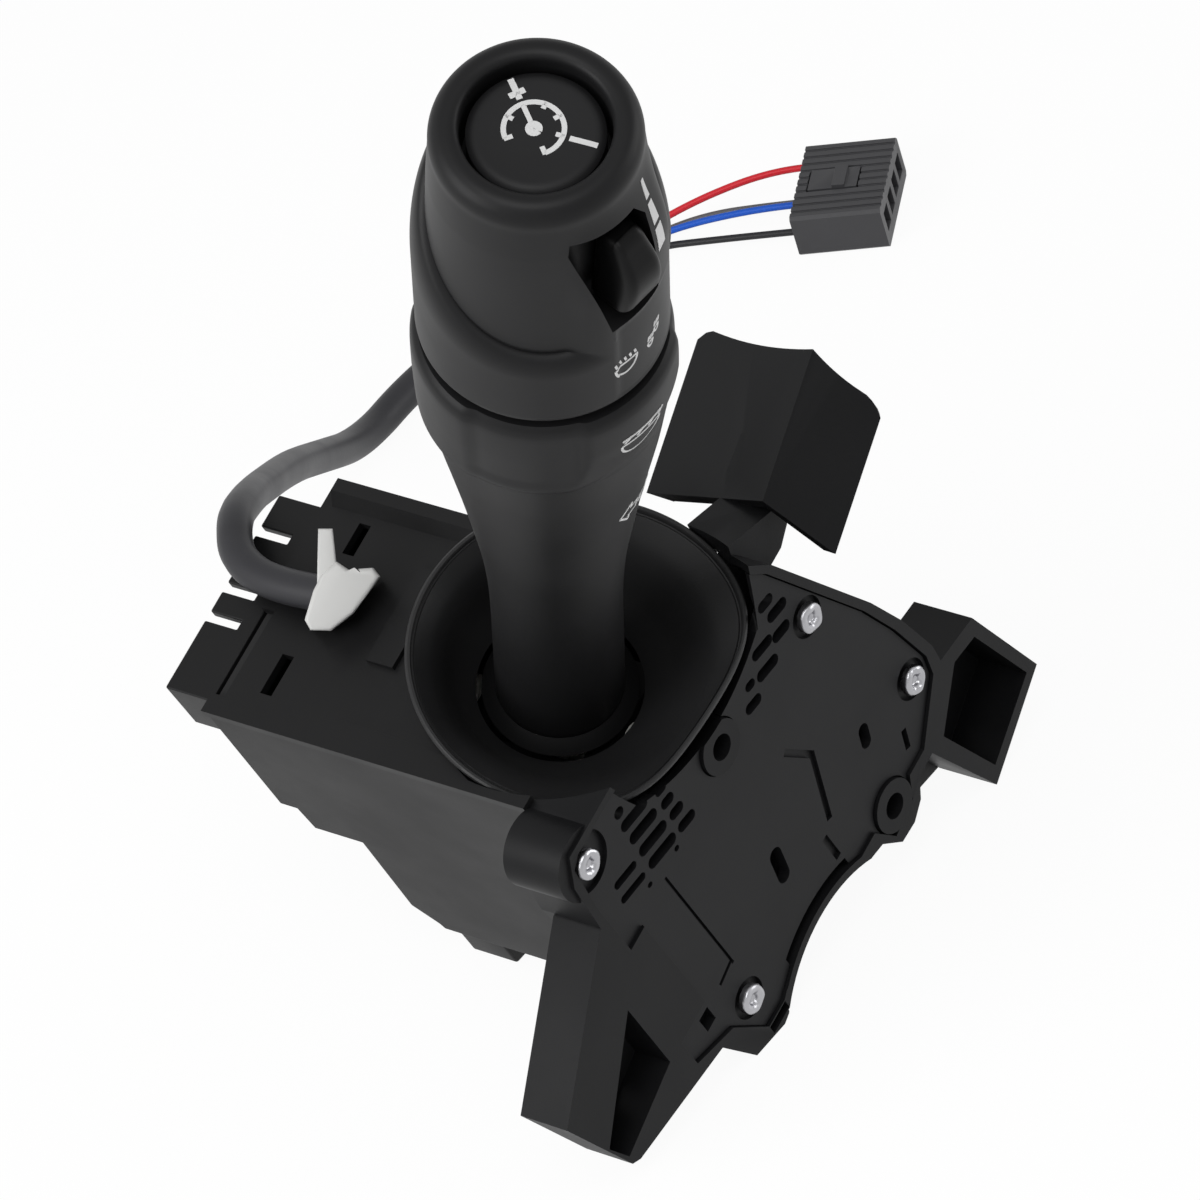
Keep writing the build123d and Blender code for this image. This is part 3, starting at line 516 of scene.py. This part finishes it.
# Its outlines as the camera sees them: millimetres right and up from the funnel's centre
TIE_BODY = [(-56.0, 6.4), (-54.2, 12.4), (-52.6, 15.5), (-49.6, 18.1), (-47.0, 16.3), (-47.7, 14.0),
            (-45.1, 16.7), (-42.3, 16.9), (-40.9, 15.1), (-43.7, 11.2), (-46.3, 7.6), (-50.8, 4.2),
            (-54.8, 4.3)]
TIE_TAIL = [(-53.3, 24.8), (-50.4, 24.8), (-49.5, 16.5), (-50.6, 11.0), (-53.6, 11.0)]


def tie_plate(bm, outline, back, front, edge):
    """Plate with a rounded front edge between two depths along the view."""
    layers = [[bm.verts.new(VIEW_RIGHT * right + VIEW_UP * up + VIEW_BACK * depth) for right, up in outline]
              for depth in (back, front)]
    face = bm.faces.new(layers[1])
    bm.faces.new(layers[0][::-1])
    for i in range(len(outline)):
        j = (i + 1) % len(outline)
        bm.faces.new((layers[0][i], layers[0][j], layers[1][j], layers[1][i]))
    bmesh.ops.bevel(bm, geom=list(face.edges), offset=edge, segments=3, profile=0.5, affect="EDGES",
                    material=-1)


def tie_skin():
    """Nylon tie folded over the gland, with its two knuckles and the cut tail."""
    bm = bmesh.new()
    tie_plate(bm, TIE_BODY, -27.0, -17.0, 0.8)
    tie_plate(bm, TIE_TAIL, -20.4, -18.6, 0.5)
    return finish_piece("cable_tie_strap", bm, tie_nylon, "cable_tie", place=COLUMN)


def gland_skin():
    """Low rounded boot where the sheath enters the housing, under the tie."""
    bm = bmesh.new()
    bmesh.ops.create_cube(bm, size=1.0)
    bmesh.ops.scale(bm, vec=(6.4, 7.6, 5.4), verts=bm.verts)
    bmesh.ops.bevel(bm, geom=bm.edges[:], offset=1.8, segments=4, profile=0.5, affect="EDGES", material=-1)
    bmesh.ops.translate(bm, vec=(-54.0, -6.6, 7.2), verts=bm.verts)
    return finish_piece("cable_gland_boot", bm, lid_plastic, "cable_gland", place=COLUMN)


gland_skin()
tie_skin()


# Moulded pieces with rounded edges

EDGE_WIDTHS = {
    "bracket_frame": 0.35, "front_cover": 0.25, "main_housing": 0.5, "housing_cover": 0.4,
    "lower_housing": 0.6, "harness_socket": 0.6, "connector_hood": 0.5, "cable_comb": 0.4,
    "plug_housing": 0.12, "plug_latch": 0.12,
}
for name, edge in EDGE_WIDTHS.items():
    rounded_copy(name, edge)


def soften_hood():
    """Round the two outer corners of the hood's rim by letting them down along its faces."""
    to_column = COLUMN.inverted()
    rise = COLUMN.to_3x3() @ Vector((0, 0.946, 0.324))
    deepest, rim_low = 3.0, 60.0
    for vert in bpy.data.objects["connector_hood_moulded"].data.vertices:
        spot = to_column @ vert.co
        if spot.y > rim_low:
            for corner, reach in ((-19.8, 4.4), (26.8, 3.0)):
                vert.co -= rise * deepest * max(0.0, 1 - abs(spot.x - corner) / reach) ** 2


soften_hood()


# Rivets of the front cover

RIVETS = [(32.4, -27.1), (43.1, -68.3), (-41.7, -3.7), (-32.1, -73.6)]
RIVET_FACE = 25.0


def rivet_heads():
    """Peened tube ends: a rolled rim, flattened unevenly by the tool, round a dark dimple."""
    bm = bmesh.new()
    for index, (y, z) in enumerate(RIVETS):
        head = lathe([(3.25, -0.9), (3.3, 0.1)] + curve_points(
            [(3.3, 0.15), (3.15, 0.62), (2.6, 0.95), (1.9, 0.9), (1.35, 0.45), (1.1, -0.1)], 0.18)
            + [(0.9, -0.25), (0.0, -0.3), (0.0, -0.9), (3.25, -0.9)], 40)
        for vert in head.verts:
            angle = math.atan2(vert.co.y, vert.co.x)
            lumps = 0.11 * math.sin(3 * angle + 1.7 * index) + 0.08 * math.sin(5 * angle + 2.9 * index)
            if vert.co.z > 0.2:
                vert.co.z += lumps
            vert.co.x *= 1 + 0.02 * math.sin(4 * angle + index)
        place = Matrix.Translation((RIVET_FACE, y, z)) @ Matrix.Rotation(math.pi / 2, 4, "Y")
        bmesh.ops.transform(head, matrix=place, verts=head.verts)
        mesh = bpy.data.meshes.new("one_rivet")
        head.to_mesh(mesh)
        head.free()
        bm.from_mesh(mesh)
        bpy.data.meshes.remove(mesh)
    return finish_piece("cover_rivet_heads", bm, rivet_metal, "cover_rivets", place=COLUMN)


rivet_heads()


# Lever

def stem_skin():
    """Satin stem that flares from the funnel up to the ring."""
    flare = curve_points([(13.2, -15.0), (13.2, 0.0), (13.25, 20.0), (13.6, 32.0), (14.5, 44.0),
                          (16.0, 56.0), (17.9, 70.0), (19.9, 83.0), (21.8, 95.0), (23.3, STEM_TOP)], 1.5)
    core = [(17.0, STEM_TOP), (17.0, 144.9), (0.01, 144.9), (0.01, -21.5)]
    outline = [(4.0, -21.5), (8.6, -21.5)] + flare + core
    return finish_piece("lever_stem_skin", lathe(outline), lever_plastic, "lever_stem", place=LEVER)


def around(angle, radius, height):
    """Point in the lever's directions, by its angle round the lever."""
    return Vector((radius * math.cos(angle), radius * math.sin(angle), height))


def angle_between(first, second):
    return abs((first - second + math.pi) % (2 * math.pi) - math.pi)


def ring_radius(angle, height, radius):
    """Ring's radius where its outline has the given one: scalloped, and flush with the stem on the right."""
    dip = 0.0
    for grip in (-68.0, 52.0, 172.0):
        dip += 1 - smooth_step(0.38, 0.52, angle_between(angle, math.radians(grip)))
    flush = smooth_step(math.radians(50.0), math.radians(95.0), angle_between(angle, math.radians(-115.0)))
    dip = dip * (0.6 + 0.4 * smooth_step(108.5, 113.0, height))
    dip = max(dip, flush * 1.9 * (1 - smooth_step(RING_LOW, 122.0, height)))
    return max(RING_FLUSH_R, radius - dip)


def ring_skin():
    """Ring whose lower lip stands proud on the left and runs into the stem on the right."""
    outside = curve_points([(24.3, 107.2), (24.9, 108.0), (25.15, 109.4), (25.3, 112.0), (25.55, 120.0),
                            (25.6, 128.0), (25.4, 130.2), (24.9, 131.7), (24.0, RING_HIGH)], 0.7)
    outline = [(17.1, RING_LOW), (RING_FLUSH_R, RING_LOW)] + outside
    outline += [(22.4, RING_HIGH), (17.1, RING_HIGH), (17.1, RING_LOW)]
    bm = lathe(outline, 176)
    for vert in bm.verts:
        radius = math.hypot(vert.co.x, vert.co.y)
        if radius < 23.3:
            continue
        scale = ring_radius(math.atan2(vert.co.y, vert.co.x), vert.co.z, radius) / radius
        vert.co.x *= scale
        vert.co.y *= scale
    return finish_piece("fog_ring_skin", bm, lever_plastic, "fog_ring", place=LEVER)


def head_radius(height):
    """Radius of the knob's head without its collar."""
    table = [(131, 21.9), (160, 21.9), (174, 21.3), (190, 20.6), (199, 20.0)]
    for (low, low_r), (high, high_r) in zip(table, table[1:]):
        if height <= high:
            return low_r + (high_r - low_r) * (height - low) / (high - low)
    return table[-1][1]


def collar_edge(angle):
    """Height of the slanting crease where the collar meets the head."""
    return COLLAR_LOW_EDGE + COLLAR_RISE * (1 - math.cos(angle - COLLAR_LOW_ANGLE))


def shoulder(angle, height):
    """Collar's share of its extra radius: a crease at its slanting edge, then a rounded shoulder."""
    edge = collar_edge(angle)
    width = 5.5 + 0.45 * (edge - COLLAR_LOW_EDGE)
    along = min(1.0, max(0.0, (height - edge + width) / width))
    return math.sqrt(1 - along * along)


def platform(angle, height):
    """Share of the raised platform that carries the slider on the knob's side."""
    across = 1 - smooth_step(math.radians(22.0), math.radians(46.0), angle_between(angle, PLATFORM_ANGLE))
    return across * (1 - smooth_step(174.0, 199.0, height))


def knob_radius(angle, height):
    head = head_radius(height)
    facet = 0.55 * smooth_step(math.radians(-23.6), math.radians(-21.8), angle)
    facet *= 1 - smooth_step(math.radians(34.0), math.radians(60.0), angle)
    facet *= 1 - smooth_step(161.0, 164.5, height)
    raised = platform(angle, height)
    crease = 0.45 * math.exp(-((height - collar_edge(angle) - 0.2) / 0.7) ** 2) * max(0.0, 1 - 4 * raised)
    return head + (COLLAR_R - head) * max(shoulder(angle, height), raised) - facet - crease


def on_knob(across, height, lift):
    """Point on the knob's skin: millimetres round the collar from angle 0, height, and lift off it."""
    angle = across / COLLAR_R
    return around(angle, knob_radius(angle, height) + lift, height)


# Recess that the slider runs in: its corners round the collar and along the lever
RECESS = [(-18.4, 190.4), (-17.9, 193.9), (-0.6, 193.2), (2.1, 189.0), (2.1, 163.3), (-11.0, 163.3)]


def sink_recess(bm):
    """Cut the slider's recess into the platform, with steep walls and a flat floor."""
    out = (on_knob(-8.0, 180.0, 1.0) - on_knob(-8.0, 180.0, 0.0)).normalized()
    corners = [on_knob(*corner, 0.0) for corner in RECESS]
    centre = sum(corners, Vector()) / len(corners)
    walls = []
    for a, b in zip(corners, corners[1:] + corners[:1]):
        inward = out.cross(b - a).normalized()
        if inward.dot(centre - a) < 0:
            inward.negate()
        walls.append((a, inward))
    for depth in (0.0, WALL_SLOPE):
        for a, inward in walls:
            near = [f for f in bm.faces if (f.calc_center_median() - centre).length < RECESS_REACH
                    and (f.calc_center_median() - centre).dot(out) > -6.0]
            geom = near + list({e for f in near for e in f.edges}) + list({v for f in near for v in f.verts})
            bmesh.ops.bisect_plane(bm, geom=geom, dist=1e-4, plane_co=a + inward * depth, plane_no=inward)
    for vert in bm.verts:
        if (vert.co - centre).dot(out) < -6.0 or (vert.co - centre).length > RECESS_REACH:
            continue
        if math.hypot(vert.co.x, vert.co.y) < 18.0:
            continue
        inside = min((vert.co - a).dot(inward) for a, inward in walls)
        if inside > 0.0:
            vert.co -= out * RECESS_DEPTH * min(1.0, inside / WALL_SLOPE)


def knob_skin():
    """Knob with its slanting collar, soft crown, button well and slider recess."""
    crease_row = 165.0
    side_low = KNOB_LOW + 2.6
    below = [crease_row - 27.2 * (1 - i / 60) ** 1.35 for i in range(60)]
    side = [(COLLAR_R, height) for height in below + [crease_row + 0.55 * i for i in range(61)]]
    crown = curve_points([(20.0, 199.0), (19.9, 201.4), (19.2, 203.3), (17.9, 204.6), (16.6, KNOB_TOP),
                          (15.4, 204.9), (14.6, 204.4), (WELL_R + 0.05, 203.6), (WELL_R, 202.6)], 0.5)
    outline = [(0.0, 145.0), (17.1, 145.0), (17.1, KNOB_LOW), (21.9, KNOB_LOW), (23.1, KNOB_LOW + 0.25),
               (23.9, KNOB_LOW + 0.9), (24.3, KNOB_LOW + 1.8)]
    outline += side + crown + [(WELL_R, 200.0), (WELL_R, 192.0), (0.0, 192.0)]
    bm = lathe(outline, 208)
    for vert in bm.verts:
        radius = math.hypot(vert.co.x, vert.co.y)
        if radius < 21.0 or vert.co.z < KNOB_LOW + 1.0:
            continue
        angle = math.atan2(vert.co.y, vert.co.x)
        if side_low - 0.1 < vert.co.z < 198.1:
            edge = collar_edge(angle)
            if vert.co.z <= crease_row:
                vert.co.z = side_low + (vert.co.z - side_low) * (edge - side_low) / (crease_row - side_low)
            else:
                vert.co.z = edge + (vert.co.z - crease_row) * (198.0 - edge) / (198.0 - crease_row)
        scale = (knob_radius(angle, vert.co.z) + min(0.0, radius - COLLAR_R)) / radius
        vert.co.x *= scale
        vert.co.y *= scale
    sink_recess(bm)
    return finish_piece("headlamp_knob_skin", bm, lever_plastic, "headlamp_knob", place=LEVER)


def slider_skin():
    """Rounded thumb paddle of the speed slider, proud of the platform at its lower end."""
    bm = bmesh.new()
    bmesh.ops.create_cube(bm, size=1.0)
    bmesh.ops.scale(bm, vec=(9.0, 11.2, 18.5), verts=bm.verts)
    bmesh.ops.bevel(bm, geom=bm.edges[:], offset=2.3, segments=5, profile=0.5, affect="EDGES", material=-1)
    long_edges = [e for e in bm.edges if e.calc_length() > 4.0]
    bmesh.ops.subdivide_edges(bm, edges=long_edges, cuts=7, use_grid_fill=True)
    for vert in bm.verts:
        x, y, z = vert.co
        if x > 0:
            crest = 1.6 * math.exp(-((z + 2.0) / 6.0) ** 2) - 2.4 * smooth_step(1.0, 9.2, z)
            vert.co.x = x + crest * min(1.0, x / 2.0)
        vert.co.y = y * (1 - 0.012 * (z + 9.2)) if y > 0 else y * (1 - 0.030 * (z + 9.2))
    place = Matrix.Rotation(math.radians(-10.4), 4, "Z") @ Matrix.Translation((20.6, 0.0, 177.8))
    return finish_piece("cruise_slider_paddle", bm, slider_plastic, "cruise_slider", place=LEVER @ place)


def button_skin():
    """Recessed end button with a soft edge and a shallow dish."""
    outline = curve_points([(0.0, BUTTON_TOP - 0.25), (5.0, BUTTON_TOP - 0.2), (9.5, BUTTON_TOP - 0.05),
                            (11.4, BUTTON_TOP), (12.3, BUTTON_TOP - 0.3), (BUTTON_R, BUTTON_TOP - 1.0)],
                           0.8) + [(BUTTON_R, 195.2), (0.0, 195.2)]
    return finish_piece("end_button_skin", lathe(outline, 96), button_plastic, "end_button", place=LEVER)


# Printed marks

MARK_LINE = 0.55


def lay_stroke(bm, path, width, surface, end_width):
    """Thin raised stroke along flat points, laid on a surface given as a function."""
    points = [Vector(p) for p in path]
    dense = []
    for a, b in zip(points, points[1:]):
        count = max(1, round((b - a).length / 0.5))
        dense += [a.lerp(b, i / count) for i in range(count)]
    dense.append(points[-1])
    rows = []
    for i, here in enumerate(dense):
        along = (dense[min(i + 1, len(dense) - 1)] - dense[max(i - 1, 0)]).normalized()
        half = (width + (end_width - width) * i / (len(dense) - 1)) / 2
        side = Vector((-along.y, along.x)) * half
        spots = ((here + side, 0.09), (here - side, 0.09), (here - side, -0.12), (here + side, -0.12))
        rows.append([bm.verts.new(surface(spot.x, spot.y, lift)) for spot, lift in spots])
    for a, b in zip(rows, rows[1:]):
        for j in range(4):
            k = (j + 1) % 4
            bm.faces.new((a[j], a[k], b[k], b[j]))
    bm.faces.new(rows[0])
    bm.faces.new(rows[-1][::-1])


def arc_points(centre, radius, start, end, step=6.0):
    count = max(2, round(abs(end - start) / step))
    angles = [math.radians(start + (end - start) * i / count) for i in range(count + 1)]
    return [(centre[0] + radius * math.cos(a), centre[1] + radius * math.sin(a)) for a in angles]


def printed(name, strokes, surface, node):
    """Marks of one piece, from strokes of path, width and end width."""
    bm = bmesh.new()
    for path, width, end_width in strokes:
        lay_stroke(bm, path, width, surface, end_width)
    return finish_piece(name, bm, mark_paint, node, place=LEVER, replaced=False)


def on_button(x, y, lift):
    return Vector((x, y, BUTTON_TOP - 0.25 + 0.2 * min(1.0, math.hypot(x, y) / 9.5) ** 2 + lift))


def gauge_mark():
    """Speed gauge with its needle, a plus and a minus."""
    hub = Vector((-0.7, 0.4))

    def ray(angle, low, high):
        way = Vector((math.cos(math.radians(angle)), math.sin(math.radians(angle))))
        return [tuple(hub + way * low), tuple(hub + way * high)]

    strokes = [(arc_points(hub, 5.6, -38.0, 233.0), 1.0, 1.0),
               (arc_points(hub, 0.8, 0.0, 360.0, 20.0), 1.65, 1.65),
               (ray(143.0, 0.5, 5.4), 0.95, 0.95),
               (ray(143.6, 6.7, 11.3), 1.2, 1.2),
               (ray(12.6, 6.9, 12.3), 1.1, 1.1)]
    strokes += [(ray(angle, 5.9, low), 0.95, 0.95) for angle, low in
                ((-38.0, 4.1), (233.0, 4.2), (183.0, 4.3), (99.0, 4.5), (60.0, 4.2), (14.0, 4.2))]
    across = Vector((0.526, 0.85)) * 1.6
    middle_plus = hub + Vector((-6.5, 4.8))
    strokes.append(([tuple(middle_plus - across), tuple(middle_plus + across)], 1.2, 1.2))
    return printed("gauge_mark", strokes, on_button, "end_button")


def lamp_strokes(left, low, wide, deep, rays, lean):
    """Half-round lamp seen from the side, with short rays over it."""
    middle_x = left + wide / 2
    bowl = [(middle_x + wide / 2 * math.cos(math.radians(a)), low + deep + deep * math.sin(math.radians(a)))
            for a in range(180, 361, 12)]
    strokes = [(bowl + [bowl[0]], MARK_LINE, MARK_LINE)]
    for i in range(rays):
        x = left + wide * (0.06 + 0.88 * i / (rays - 1))
        strokes.append(([(x, low + deep + 0.8), (x + lean, low + deep + 2.2)], MARK_LINE, MARK_LINE))
    return strokes


def knob_marks():
    """Headlamp and parking lamp signs, and the growing speed bars beside the slider."""
    strokes = lamp_strokes(-10.6, 144.3, 5.8, 3.7, 5, -0.35)
    for left in (-1.5, 0.7):
        strokes += lamp_strokes(left, 145.2 + 2.6 * (left > 0), 1.7, 1.5, 3, 0.3)
    strokes += [([(4.0, 175.6), (4.2, 182.2)], 3.0, 2.5), ([(4.3, 183.5), (4.5, 189.4)], 2.3, 1.8),
                ([(4.6, 190.7), (4.8, 196.2)], 1.6, 1.0)]
    return printed("knob_marks", strokes, on_knob, "headlamp_knob")


def on_ring(across, height, lift):
    angle = across / 25.6
    return around(angle, ring_radius(angle, height, 25.3 + 0.25 * (height - 111.5) / 8.5) + lift, height)


def on_stem(across, height, lift):
    return around(across / 18.5, 17.9 + (19.9 - 17.9) * (height - 70.0) / 13.0 + lift, height)


def ring_mark():
    """Fog lamp sign: a half-round lamp and four rays crossed by a line."""
    strokes = lamp_strokes(-10.9, 114.4, 10.2, 5.8, 4, 1.6)
    strokes.append(([(-10.8, 122.2), (-0.4, 122.2)], MARK_LINE, MARK_LINE))
    return printed("ring_mark", strokes, on_ring, "fog_ring")


def stem_mark():
    """Turn arrows, pointing both ways round the stem."""
    arrow = [(0.0, 77.6), (2.8, 81.6), (2.8, 79.3), (5.0, 79.3), (5.0, 75.9), (2.8, 75.9), (2.8, 73.6),
             (0.0, 77.6)]
    strokes = [([(tip + way * x, z) for x, z in arrow], MARK_LINE, MARK_LINE)
               for tip, way in ((-4.6, 1), (6.6, -1))]
    return printed("stem_mark", strokes, on_stem, "lever_stem")


def funnel_skin():
    """Dished funnel with a thin lip, flattened where the front frame cuts across it."""
    dish = curve_points([(33.4, -0.9), (31.6, -2.4), (29.0, -4.8), (26.6, -8.0), (24.4, -11.6), (22.3, -14.8),
                         (19.8, -17.6), (17.1, -20.2)], 0.9)
    outside = curve_points([(18.9, -20.2), (22.6, -17.2), (25.8, -14.0), (29.0, -10.0), (32.0, -6.0),
                            (34.4, -2.2)], 1.5)
    lip = [(35.2, -1.5), (FUNNEL_RIM_R, -0.9), (35.35, -0.35), (35.0, 0.0), (34.5, 0.0), (34.15, -0.35),
           (34.0, -1.1), (33.7, -1.15)]
    outline = lip + dish + outside + lip[:1]
    bm = lathe(outline, 192)
    for vert in bm.verts:
        vert.co.x -= THROAT_SHIFT * max(0.0, min(1.0, -vert.co.z / FUNNEL_DEPTH))
    to_column = axes_at(Vector((0, 0, 0)))
    for vert in bm.verts:
        radius = math.hypot(vert.co.x, vert.co.y)
        spot = to_column @ vert.co
        centre = to_column @ Vector((0, 0, vert.co.z))
        reach = spot.x - centre.x
        limit = FUNNEL_FRONT - centre.x - max(0.0, FUNNEL_RIM_R - radius) * 0.55
        if reach <= 5.0:
            continue
        gap = max(-30.0, min(30.0, (reach - limit) / FLATTENING))
        pulled = reach - FLATTENING * math.log1p(math.exp(gap))
        scale = pulled / reach
        vert.co.x *= scale
        vert.co.y *= scale
    return finish_piece("funnel_skin", bm, funnel_plastic, "funnel_shroud", place=FUNNEL)


stem_skin()
ring_skin()
knob_skin()
slider_skin()
button_skin()
funnel_skin()
gauge_mark()
knob_marks()
ring_mark()
stem_mark()
